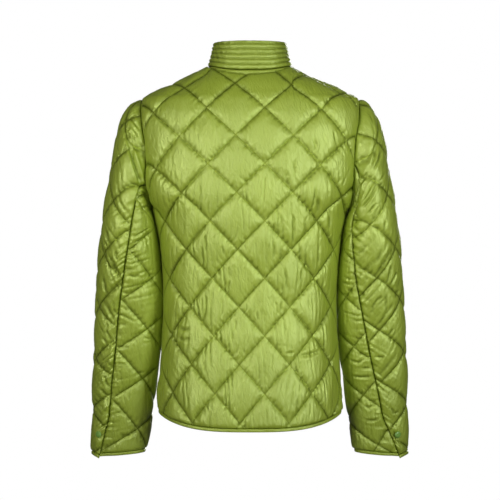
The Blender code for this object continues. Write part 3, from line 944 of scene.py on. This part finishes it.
SIDE_FULLNESS = 0.45
YOKE_TIGHTNESS = 0.2
CLEAR_OF_STITCH = (0.5, 4.0)
QUILT_RISE = 97.0
QUILT_LEVEL = -72.0
BACK_SEAMS = [Seam("bottom", 2.0, 1.5, 6), Seam("top", 3.0, 0.5, 3),
              Seam("start", 4.5, 1.1, 5), Seam("end", 4.5, 1.1, 3)]
FRONT_SEAMS = [seam for seam in BACK_SEAMS if seam.edge != "start"]


def body_height(net, quilt, face, seams, creased):
    """The padding is fuller towards the flanks, and the cloth is drawn tight over the yoke."""
    height, off, a, b = cushions(net, quilt)
    aside, below, seed = abs(net.points[:, :, 0]), -net.points[:, :, 2], quilt.seed
    height *= 1 + SIDE_FULLNESS * ramp(aside, 70.0, 125.0) * ramp(below, 130.0, 220.0)
    tight = YOKE_TIGHTNESS + (1 - YOKE_TIGHTNESS) * ramp(below, 150.0, 250.0)
    height += creased * tight * side_creases(net, a, b, quilt)
    height += 1.3 * stitch_ripple(a, b, off, seed + 9)
    height += 0.7 * noise(net.across / 13, net.up / 34, seed + 4) * ramp(off, 2, 12)
    fine = creases(net.across, net.up, 12.5, 30.0, -0.12, seed + 7, 1.8)
    height += tight * 0.8 * fine * ramp(off, 2, 8)
    height += folded_in(net, BACK_FOLDS, face) * ramp(off, *CLEAR_OF_STITCH)
    return sewn_down(net, height, seams, seed), a, b


NECK_ROLL_WIDTH = 8.5
NECK_ROLL_REACH = 73.0


def with_neck_roll(net, height, a, b):
    """A plain roll below the collar, widest at the centre back, with the quilting below it."""
    below = from_edges(net)["top"]
    centred = np.clip(1 - (net.points[:, :, 0] / NECK_ROLL_REACH) ** 2, 0.0, 1.0)
    width = NECK_ROLL_WIDTH * np.sqrt(centred)
    share = np.clip(below / np.maximum(width, 0.1), 0.0, 1.0)
    roll = 0.9 + 2.4 * np.sin(np.pi * share) ** 0.6
    inside = (below < width) & (width > 2.0)
    quilted = held_down(height, np.maximum(below - width, 0.0), 3.0)
    return np.where(inside, roll, quilted), np.where(inside, 0.5, a), np.where(inside, 0.5, b)


back_quilt = Quilt(back_pitch(back_net.up), QUILT_RISE, 25.0, QUILT_LEVEL, seed=2)
height, a, b = body_height(back_net, back_quilt, "back", BACK_SEAMS, creased=1.7)
height, a, b = with_neck_roll(back_net, height, a, b)
for side in SIDES:
    height = beside_body(back_net, height, side, facing=1.0)
sew("back_cloth", "back_panel", back_net, height, maps_of(back_net, a, b), quilted_nylon)

# %% Sew the fronts
FLAT_UNDER_PLACKET = (17.0, 30.0)
FRONT_SEEDS = {"left": 20, "right": 33}
for side in SIDES:
    net = halves["front", side]
    quilt = Quilt(back_pitch(net.up), QUILT_RISE, 0.0, QUILT_LEVEL, FRONT_SEEDS[side])
    height, a, b = body_height(net, quilt, "front", FRONT_SEAMS, creased=1.6)
    height *= ramp(from_edges(net)["start"], *FLAT_UNDER_PLACKET)
    height = beside_body(net, height, side, facing=1.0)
    sew("front_cloth_" + side, "front_" + side, net, height, maps_of(net, a, b), quilted_nylon)

# %% [markdown]
# ## Sleeves
# Each sleeve has two pieces. The top sleeve goes over the outside of the arm, and the under
# sleeve lies against the body. The armhole's own shape fades out over the sleeve head. Both
# pieces come from one closed net, so that they meet exactly at their seams.

# %% Sleeve nets
SLEEVE_ROWS = 290
TOP_COLUMNS = 118
UNDER_COLUMNS = 84
LAST_STEP = 14.0
BINDING_STEPS = 0.1
QUARTER = 150
SLEEVE_LEVEL = -400.0
SLEEVE_ROUND = 115.0


def sleeve_form(side, steps, angles):
    """Outer face of the sleeve at any steps and angles, two arrays of one shape."""
    def at(column):
        return smooth(SLEEVE, column, steps, "step")

    outer = np.stack([at("outer_x"), 0 * steps, at("outer_z")], axis=-1)
    inner = np.stack([at("inner_x"), 0 * steps, at("inner_z")], axis=-1)
    c, s = np.cos(angles), np.sin(angles)
    c = np.sign(c) * abs(c) ** (2 / SLEEVE_POWER)
    s = np.sign(s) * abs(s) ** (2 / SLEEVE_POWER)
    ring = (outer + inner) / 2 + c[..., None] * (outer - inner) / 2
    ring[..., 1] += at("middle_y") - s * at("half_depth")
    return ring * np.array([SIDES[side], 1.0, 1.0])


def seam_angle(column, steps):
    return np.radians(smooth(SLEEVE_SEAMS, column, steps, "step"))


def armhole_stretch(face, side, low, high):
    """Part of the body's armhole from one height up to another, with its directions."""
    net = halves[face, side]
    line = np.concatenate([net.points[LOWER_ROWS:, -1], net.outward[LOWER_ROWS:, -1]], axis=1)
    ends = [[np.interp(z, line[:, 2], values) for values in line.T] for z in (low, high)]
    inside = line[(line[:, 2] > low) & (line[:, 2] < high)]
    return even(np.concatenate([ends[:1], inside, ends[1:]]), QUARTER)


def sleeve_start_z(column):
    middle = (UNDERARM_Z + SHOULDER_Z) / 2
    return middle + (SHOULDER_Z - middle) * math.cos(float(seam_angle(column, 0.0)))


def level_unrolled(points):
    """Flat place of the top sleeve's cloth: round the sleeve from its outer ridge, and up."""
    ridge = points[:, points.shape[1] // 2]
    z = points[:, :, 2]
    beside = [points[:, :, axis] - np.interp(z, ridge[:, 2], ridge[:, axis]) for axis in (0, 1)]
    chord = np.hypot(*beside)
    return -np.sign(beside[1]) * chord * (1 + (chord / SLEEVE_ROUND) ** 2 / 6), z


def sleeve_nets(side):
    """Top and under sleeve, with rows from the cuff to the armhole. Four quarters go round
    from the back seam: to the outer ridge, the front seam, the inner ridge and back."""
    ridge_steps = np.linspace(LAST_STEP - BINDING_STEPS, 0.0, 600)
    ridge = sleeve_form(side, ridge_steps, 0 * ridge_steps)
    steps = even(np.column_stack([ridge, ridge_steps]), SLEEVE_ROWS)[:, 3]
    back, front = seam_angle(side, steps)[:, None], -seam_angle("front", steps)[:, None]
    inner_ridge = np.full_like(back, -math.pi)
    share = np.linspace(0.0, 1.0, QUARTER + 1)
    angles = np.concatenate([
        back * (1 - share),
        (front * share)[:, 1:],
        (front + (inner_ridge - front) * share)[:, 1:],
        (inner_ridge + (back - 2 * math.pi - inner_ridge) * share)[:, 1:],
    ], axis=1)
    points = sleeve_form(side, np.repeat(steps[:, None], angles.shape[1], axis=1), angles)
    back_z, front_z = sleeve_start_z(side), sleeve_start_z("front")
    loop = np.concatenate([
        armhole_stretch("back", side, back_z, SHOULDER_Z),
        armhole_stretch("front", side, front_z, SHOULDER_Z)[::-1][1:],
        armhole_stretch("front", side, UNDERARM_Z, front_z)[::-1][1:],
        armhole_stretch("back", side, UNDERARM_Z, back_z)[1:],
    ])
    share_left = np.clip(1 - steps / SLEEVE_HEAD_STEPS, 0.0, 1.0) ** 2
    points = points + share_left[:, None, None] * (loop[:, :3] - points[-1])
    run = run_along(points, 1)
    around = run[:, QUARTER:QUARTER + 1] - run
    rise = run_along(points)
    for k in range(rise.shape[1]):
        rise[:, k] += SLEEVE_LEVEL - np.interp(SLEEVE_LEVEL, points[:, k, 2], rise[:, k])
    wide = np.concatenate([points, around[:, :, None], rise[:, :, None]], axis=2)
    net = np.stack([even_about(row, 2 * QUARTER, TOP_COLUMNS, UNDER_COLUMNS) for row in wide])
    ring = net[:, :, :3]
    outward = square_to(np.concatenate([ring[:, -2:-1], ring, ring[:, 1:2]], axis=1))[:, 1:-1]
    outward *= np.sign(outward[0, TOP_COLUMNS // 2, 0]) * SIDES[side]
    first = even_about(loop, 2 * QUARTER, TOP_COLUMNS, UNDER_COLUMNS)[:, 3:6]
    eased(outward, (-1,), first)
    outward = unit(outward)
    top, under = np.s_[:, :TOP_COLUMNS + 1], np.s_[:, TOP_COLUMNS:]
    return [Net(ring[top], outward[top], *level_unrolled(ring[top])),
            Net(ring[under], outward[under], net[under][:, :, 3], net[under][:, :, 4])]


# %% [markdown]
# ## Creases of the sleeves
# A sleeve that hangs has long steep creases over the top sleeve, which run down into the back
# seam. The under sleeve has short ones that fan out from the same seam. Near the cuff that seam
# is left open as a short vent, and a stud holds its corner.

# %% Creases placed on the sleeves
TOP_FOLDS, UNDER_FOLDS = {}, {}
TOP_FOLDS["left"] = [
    (6.0, 3.0, -211, -112, -204, -141, -196, -170, -182, -214),
    (1.9, 1.9, -206, -88, -198, -97, -189, -109),
    (1.9, 1.9, -202, -104, -196, -112, -191, -123),
    (1.6, 1.9, -201, -114, -196, -128),
    (1.6, 1.9, -189, -132, -184, -144),
    (2.0, 2.0, -245, -280, -244, -298, -239, -312),
    (1.8, 2.0, -250, -298, -242, -316),
    (2.2, 3.0, -241, -324, -232, -344, -223, -366),
    (1.7, 1.9, -229, -316, -230, -328, -224, -334),
    (2.0, 2.2, -253, -362, -249, -385, -244, -398),
    (1.9, 3.0, -255, -398, -245, -415, -230, -446),
    (1.7, 1.9, -236, -403, -235, -418, -230, -429),
    (1.7, 1.9, -250, -438, -247, -451),
    (2.0, 2.0, -257, -466, -247, -480),
    (2.0, 2.0, -250, -451, -238, -480),
    (1.8, 2.0, -246, -512, -239, -519),
    (2.2, 2.0, -252, -525, -240, -539),
    (2.2, 2.2, -254, -535, -250, -549, -239, -560),
    (2.0, 3.0, -259, -556, -252, -572, -243, -587),
]
TOP_FOLDS["right"] = [
    (2.2, 2.2, 217, -132, 213, -155, 206, -174),
    (2.0, 2.2, 227, -141, 219, -163, 209, -181),
    (1.5, 1.9, 230, -182, 223, -198),
    (2.3, 2.2, 217, -202, 206, -225, 190, -245),
    (1.9, 2.0, 206, -201, 201, -215, 193, -230),
    (1.9, 2.0, 213, -237, 202, -254),
    (2.2, 2.2, 201, -181, 189, -199, 182, -214),
    (1.6, 2.0, 232, -263, 229, -285),
    (2.0, 2.2, 243, -339, 241, -357, 235, -374),
    (2.0, 2.0, 254, -352, 247, -367, 241, -378),
    (1.7, 2.0, 258, -383, 252, -397),
    (1.9, 2.4, 227, -393, 217, -403, 209, -416),
    (1.6, 2.0, 235, -394, 234, -411, 235, -420),
    (1.5, 3.2, 246, -310, 234, -329, 215, -362),
    (1.5, 3.2, 248, -405, 232, -428, 220, -448),
    (1.6, 2.0, 248, -452, 240, -465),
    (1.6, 4.0, 253, -495, 237, -518, 219, -540),
    (1.4, 2.0, 212, -501, 234, -500),
    (1.7, 2.0, 246, -590, 252, -600, 261, -598),
]
UNDER_FOLDS["left"] = [
    (2.2, 2.2, -209, -359, -198, -361, -188, -358),
    (1.8, 2.0, -220, -389, -206, -389),
    (1.8, 1.9, -217, -328, -200, -334),
    (1.6, 1.8, -215, -319, -203, -328),
    (1.6, 1.9, -224, -412, -209, -421),
    (1.7, 2.0, -224, -426, -200, -438),
    (1.5, 2.0, -229, -511, -216, -514),
    (1.5, 1.8, -183, -467, -170, -470),
    (1.3, 2.0, -235, -600, -221, -600),
    (1.6, 2.4, -226, -635, -212, -640, -202, -635),
    (1.3, 2.0, -198, -528, -182, -528),
]
UNDER_FOLDS["right"] = [
    (2.0, 2.4, 173, -506, 187, -511, 202, -502),
    (2.0, 2.2, 178, -535, 195, -536, 212, -534),
    (1.8, 2.4, 198, -585, 208, -591, 223, -582),
    (1.8, 2.2, 202, -613, 214, -612, 227, -609),
    (1.4, 2.0, 195, -521, 211, -519),
    (1.7, 2.4, 176, -337, 186, -336, 196, -339),
    (1.5, 2.2, 186, -436, 196, -432, 206, -430),
    (1.6, 2.2, 183, -460, 196, -463, 208, -463),
]

# %% Quilting, seams and vents of the sleeves
VENT_LENGTH = 60.0
Vent = namedtuple("Vent", "edge past_seam lift drop corner_drop")
TOP_VENT = Vent("start", -10.0, 1.6, 0.0, 8.0)
UNDER_VENT = Vent("end", 13.0, -2.6, 4.5, 1.0)
CUFF_STUD_X = 253.0
CUFF_STUD_Z = -638.0
DIMPLE_DEPTH = 4.0
DIMPLE_RADIUS = 10.0
TOP_QUILT = {
    "left": Quilt(97.0, 91.3, 61.0, -413.0, 51, 0.0, 0.13),
    "right": Quilt(94.0, 92.2, 94.0, -363.6, 64, 0.19, 0.075),
}
UNDER_QUILT = {
    "left": Quilt(106.0, 89.5, 56.0, -363.6, 77, 0.15),
    "right": Quilt(100.0, 88.0, 28.0, -397.0, 89),
}
TOP_SEAMS = [Seam("start", 3.0, 3.6, 2, 11.0, 4.4, 0.8, 1.8), Seam("top", 4.0, 1.8, 3),
             Seam("end", 4.0, 1.0, 6), Seam("bottom", 1.6, 0.9, 7)]
UNDER_SEAMS = [Seam("end", 3.0, 3.0, 2, 8.0, 4.4, 0.0, 1.8), Seam("start", 4.0, 1.0, 6),
               Seam("top", 4.0, 1.0, 3), Seam("bottom", 1.6, 0.9, 7)]


def calmed(net):
    """The forearm hangs straight, and its cloth lies smoother than at the elbow and above."""
    return 0.35 + 0.65 * ramp(net.points[:, :, 2], -520.0, -390.0)


def top_creases(net, off, seed):
    toward_seam = ramp(-from_edges(net)["start"], -75.0, -5.0)
    steep = creases(net.across, net.up, 11.0, 46.0, 0.60, seed, 2.4)
    fine = creases(net.across, net.up, 8.0, 30.0, 0.42, seed + 1, 1.8)
    uneven = noise(net.across / 15, net.up / 26, seed + 4) * ramp(off, 2, 12)
    return calmed(net) * ((0.5 + 0.8 * toward_seam) * steep + 0.6 * fine) + 0.8 * uneven


def under_creases(net, off, seed):
    toward_seam = ramp(-from_edges(net)["end"], -60.0, -4.0)
    fan = creases(net.up, net.across, 11.0, 34.0, -0.30, seed, 2.2)
    fine = creases(net.across, net.up, 9.0, 30.0, 0.2, seed + 1, 1.8) * ramp(off, 2, 8)
    return calmed(net) * (0.6 + 0.9 * toward_seam) * fan + 0.6 * fine


def sleeve_height(net, side, quilt, loose, folds, seams):
    """A sleeve's front side has the placed creases of the other sleeve's back, mirrored."""
    height, off, a, b = cushions(net, quilt)
    other = {"left": "right", "right": "left"}[side]
    placed = folded_in(net, folds[side]) + folded_in(net, folds[other], "front")
    height += loose(net, off, quilt.seed) + placed * ramp(off, *CLEAR_OF_STITCH)
    height += 1.2 * stitch_ripple(a, b, off, quilt.seed + 9)
    height = sewn_down(net, height, seams, quilt.seed)
    return beside_body(net, height, side, facing=-1.0), a, b


def pressed_by_stud(net, height, side):
    """The stud holds the padding down, so it sits in a dimple."""
    away = np.hypot(net.points[:, :, 0] - SIDES[side] * CUFF_STUD_X,
                    net.points[:, :, 2] - CUFF_STUD_Z)
    return height - DIMPLE_DEPTH * bell(away, DIMPLE_RADIUS) * (net.outward[:, :, 1] < 0.2)


def with_vent(net, vent):
    """Near the cuff the seam is left open: the top sleeve's corner swings away and hangs as a
    point, and the under sleeve reaches in beneath it."""
    edges = from_edges(net)
    inward = edges[vent.edge]
    low = np.clip(1 - edges["bottom"] / VENT_LENGTH, 0.0, 1.0)
    last, next_to_last = (0, 1) if vent.edge == "start" else (-1, -2)
    past_edge = unit(net.points[:, last] - net.points[:, next_to_last])[:, None]
    lifted = ramp(low, 0.0, 0.3) * (1 - ramp(inward, 6.0, 26.0))
    points = net.points + past_edge * (vent.past_seam * low * fade(inward, 24.0))[:, :, None]
    points += net.outward * (vent.lift * lifted)[:, :, None]
    points[:, :, 2] -= (vent.drop + vent.corner_drop * fade(inward, 20.0)) * low ** 2
    return net._replace(points=points)


# %% Sew the sleeves
cuff_lines = {}
for side in SIDES:
    top_net, under_net = sleeve_nets(side)
    height, a, b = sleeve_height(top_net, side, TOP_QUILT[side], top_creases, TOP_FOLDS, TOP_SEAMS)
    height = pressed_by_stud(top_net, height, side)
    top_net = with_vent(top_net, TOP_VENT)
    stretches = " ".join("top_sleeve_%s_%s" % (side, part) for part in ("head", "elbow", "cuff"))
    sew("top_sleeve_cloth_" + side, stretches, top_net, height, maps_of(top_net, a, b),
        quilted_nylon)
    under_net = under_net._replace(across=from_edges(under_net)["end"])
    height, a, b = sleeve_height(under_net, side, UNDER_QUILT[side], under_creases, UNDER_FOLDS,
                                 UNDER_SEAMS)
    under_net = with_vent(under_net, UNDER_VENT)
    sew("under_sleeve_cloth_" + side, "under_sleeve_" + side, under_net, height,
        maps_of(under_net, a, b), quilted_nylon)
    cuff_lines[side] = joined(*(Net(*(values[:2] for values in net))
                                for net in (top_net, under_net)))

# %% [markdown]
# ## Bindings
# The hem and the cuffs end in a narrow band of the same nylon, folded over the raw edge. Each
# is a rounded strip that hangs from the panel's lowest row.

# %% Sew the bindings
BAND_ROWS = 8
BAND_REACH = BINDING - 0.4
CLEAR_OF_SEAMS = 0.01


def band_net(line, outward, down):
    """A strip under a line, whose section is a half round."""
    reach = BAND_REACH * np.linspace(1.0, 0.0, BAND_ROWS + 1)[:, None]
    rows = np.ones_like(reach)
    return Net(line + down * reach[:, :, None], outward * rows[:, :, None],
               run_along(line) * rows, -reach + np.zeros(len(line)))


def sew_band(name, node, line, outward, down):
    net = band_net(line, outward, down)
    share = np.linspace(-1.0, 1.0, BAND_ROWS + 1)[:, None]
    height = STITCH_DEPTH - 2.4 + 1.2 * np.sqrt(np.clip(1 - share ** 4, 0.0, 1.0))
    height = height + 0.35 * noise(net.across / 5.0, net.up / 4.0, 3)
    # The bands get none of the painted seam and fold shade.
    plain = np.stack([CLEAR_OF_SEAMS + 0 * net.across, 0 * net.across], axis=-1)
    sew(name, node, net, height, {**cloth_map(net), "Seam": plain}, plain_nylon,
        lining=5.0)


def round_body(pick):
    """One line round the body, from the left front's free edge to the right front's."""
    order = [("front", "left", 1), ("back", "left", -1),
             ("back", "right", 1), ("front", "right", -1)]
    parts = [pick(halves[face, side])[::step] for face, side, step in order]
    return np.concatenate(parts[:1] + [part[1:] for part in parts[1:]])


def low_line(net):
    down = unit(net.points[0] - net.points[1])
    return np.concatenate([net.points[0], net.outward[0], down], axis=1)


line, outward, down = np.split(round_body(low_line), 3, axis=1)
sew_band("hem_band", "hem_binding", line, outward, unit(down * np.array([0.3, 0.3, 1.0])))
for side in SIDES:
    sew_band("cuff_band_" + side, "cuff_binding_" + side,
             *np.split(low_line(cuff_lines[side]), 3, axis=1))

# %% [markdown]
# ## Collar
# A stand-up collar, open at the centre front, quilted in level ribs about nine millimetres
# apart. It leans in a little as it rises.

# %% Sew the collar
COLLAR_WIDTH_SHARE = 0.875
COLLAR_DEPTH_SHARE = 0.90
COLLAR_HEIGHT = {"side": 38.5, "back": 48.0, "front": 44.0}
COLLAR_ROWS = 36
COLLAR_COLUMNS = 250
COLLAR_BACK_REACH = 60.0
COLLAR_FRONT_REACH = 76.0
RIBS = 5.5
RIB_LOFT = 2.6


def collar_net(neck, outward):
    behind = neck[:, 1] < 0
    depth = abs(neck[:, 1]) / np.where(behind, COLLAR_BACK_REACH, COLLAR_FRONT_REACH)
    middle = np.where(behind, COLLAR_HEIGHT["back"], COLLAR_HEIGHT["front"])
    height = COLLAR_HEIGHT["side"] + (middle - COLLAR_HEIGHT["side"]) * depth ** 2
    lean = np.array([COLLAR_WIDTH_SHARE, COLLAR_DEPTH_SHARE, 1.0])
    top = neck * lean + np.stack([0 * height, 0 * height, height], axis=-1)
    rise = np.linspace(0.0, 1.0, COLLAR_ROWS + 1)[:, None, None]
    points = neck + (top - neck) * rise
    flat = unit(outward * np.array([1.0, 1.0, 0.0]) + np.array([0.0, 0.0, 0.12]))
    low = np.clip(1 - rise * COLLAR_ROWS / 6, 0.0, 1.0) ** 2
    run = run_along(neck)
    across = np.repeat((run - run[-1] / 2)[None], COLLAR_ROWS + 1, axis=0)
    return Net(points, unit(flat * (1 - low) + outward * low), across, height * rise[:, :, 0])


def neck_line(net):
    near = np.s_[-1, :NECK_COLUMNS + 1]
    return np.concatenate([net.points[near], net.outward[near]], axis=1)


neck_seam = even(round_body(neck_line), COLLAR_COLUMNS)
clear_of_seam = np.array([0.0, 0.0, 0.4])
collar = collar_net(neck_seam[:, :3] + clear_of_seam, unit(neck_seam[:, 3:6]))
rib_place = collar.up / collar.up[-1:] * RIBS
rib = abs(np.sin(np.pi * rib_place)) ** 0.6
to_end = np.minimum(from_edges(collar)["start"], from_edges(collar)["end"])
collar_height = RIB_LOFT * rib * (1 - fade(to_end, 3.0)) + 0.8
collar_height += 0.5 * rib * noise(collar.across / 7.0, rib_place * 0.8, 5)
collar_height += 0.9 * rib * creases(collar.across, collar.up, 17.0, 14.0, 0.8, 6, 5.0)
sew("collar_cloth", "collar", collar, collar_height, cloth_map(collar), plain_nylon, lining=6.0)

# %% [markdown]
# ## Placket and press studs
# The wearer's right front laps over the left as a flat strip of double nylon, stitched along
# both edges. Six press studs close it, and one more closes each cuff's vent. A stud is a
# domed cap with a rolled rim, so the frame's own caps only need a finish.

# %% Sew the placket
PLACKET_HALF_WIDTH = 18.0
PLACKET_WALL = 3.0
PLACKET_COLUMNS = 20
PLACKET_ROWS = 330
TOPSTITCH = 6.0


def front_line(x):
    """Points up the front beside the centre line, and on up the collar."""
    net = halves["front", "right"]
    k = int(np.argmin(abs(net.points[-1, :, 0] - abs(x))))
    body = net.points[:, k] * np.array([np.sign(x), 1.0, 1.0])
    low = body[:1] + unit(body[:1] - body[1:2]) * BINDING
    top = body[-1:].repeat(2, axis=0)
    neck = collar_net(top, neck_outward(top)).points[1:, 0]
    return even(np.concatenate([low, body, neck]), PLACKET_ROWS)


places = np.linspace(-PLACKET_HALF_WIDTH, PLACKET_HALF_WIDTH, PLACKET_COLUMNS + 1)
strip = np.stack([front_line(x) for x in places], axis=1)
strip[:, :, 0] = places
square = square_to(strip)
square *= np.sign(square[:, :, 1:2])
placket = Net(strip + square * (PLACKET_WALL + 1.3), square, strip[:, :, 0], run_along(strip))
rim = nearest_edge(placket)
height = 1.2 + 1.6 * (1 - fade(rim, 1.5)) - 1.2 * bell(rim - TOPSTITCH, 1.1)
height += 0.45 * gathered(abs(rim - TOPSTITCH), placket.up, 7, 8.0, 6.0)
sew("placket_cloth", "front_placket", placket, height, cloth_map(placket), plain_nylon,
    lining=2.6)

# %% Finish the studs
STUD_GREEN = (0.16, 0.32, 0.050)
STUD_PALE = (0.19, 0.36, 0.060)
stud_cap = Finish("stud_cap", Roughness=0.38, Coat_Weight=0.15)
spot = stud_cap.object_place()
stud_cap.feed("Base Color", stud_cap.mix(stud_cap.noise(spot, 400.0), STUD_GREEN, STUD_PALE))
stud_cap.bump(stud_cap.noise(spot, 900.0), 0.0002, 0.3)
for piece in bpy.data.objects:
    if "stud" in piece.name and piece.type == "MESH":
        piece.data.materials[0] = stud_cap.material
        print("finished", piece.name)
